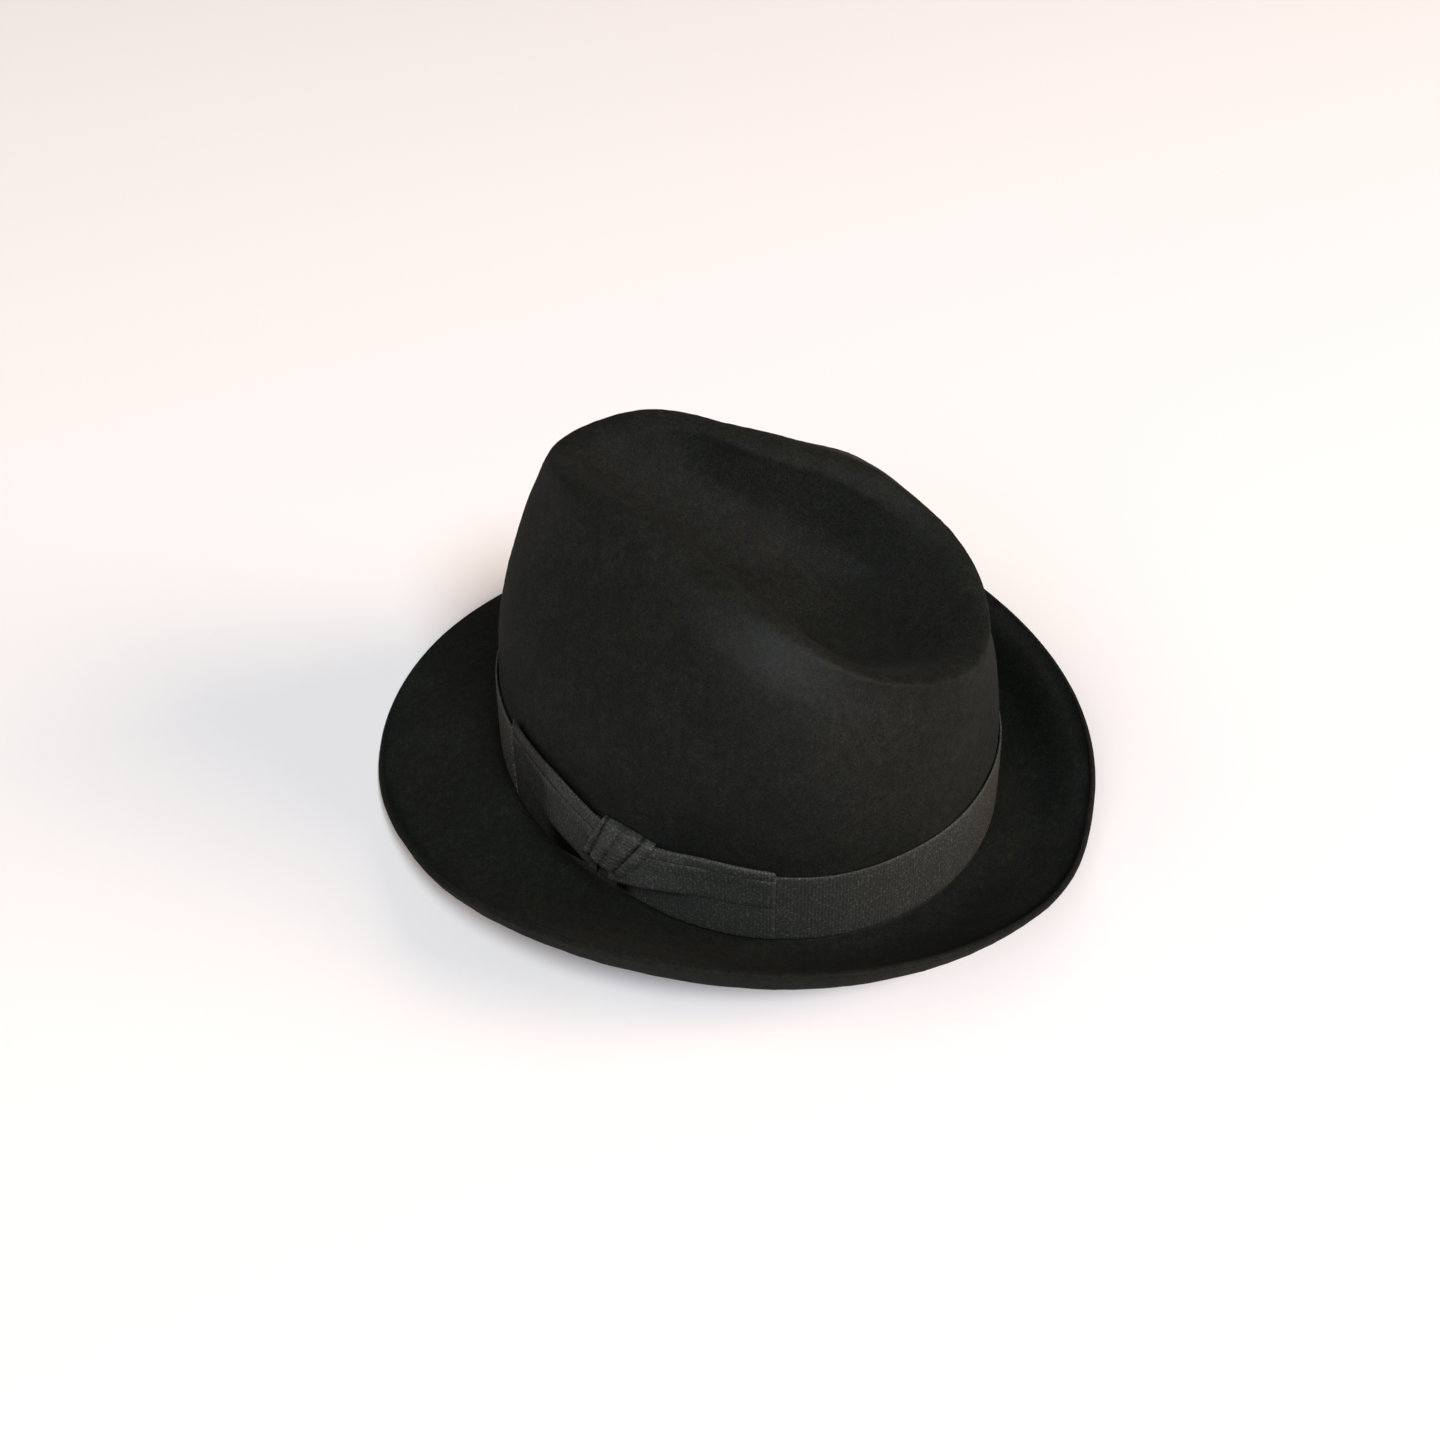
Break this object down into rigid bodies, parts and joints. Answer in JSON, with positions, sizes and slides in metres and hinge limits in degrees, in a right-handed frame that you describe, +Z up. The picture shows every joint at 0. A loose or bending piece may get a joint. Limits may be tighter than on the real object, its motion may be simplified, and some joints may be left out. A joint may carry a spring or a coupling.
{
  "type": "black felt trilby",
  "caption": "Open felt hat with a teardrop crown, a narrow turned-up brim, a ribbed ribbon band and a flat side bow.",
  "frame": {"origin": "on the surface that the hat stands on, under the middle of its whole outline", "axes": "+Z up, -Y the front of the hat, +X the wearer's left, where the bow is"},
  "size_m": [0.2489, 0.2822, 0.131],
  "materials": {
    "wool_felt": "black wool felt, pressed, with a short soft nap",
    "ribbed_ribbon": "black grosgrain ribbon, fine cross ribs, dull sheen"
  },
  "bodies": {
    "root": {"felt_body": "wool_felt", "ribbon_band": "ribbed_ribbon", "bow_back_leaf": "ribbed_ribbon", "bow_knot": "ribbed_ribbon", "bow_front_leaf": "ribbed_ribbon"}
  },
  "joints": []
}
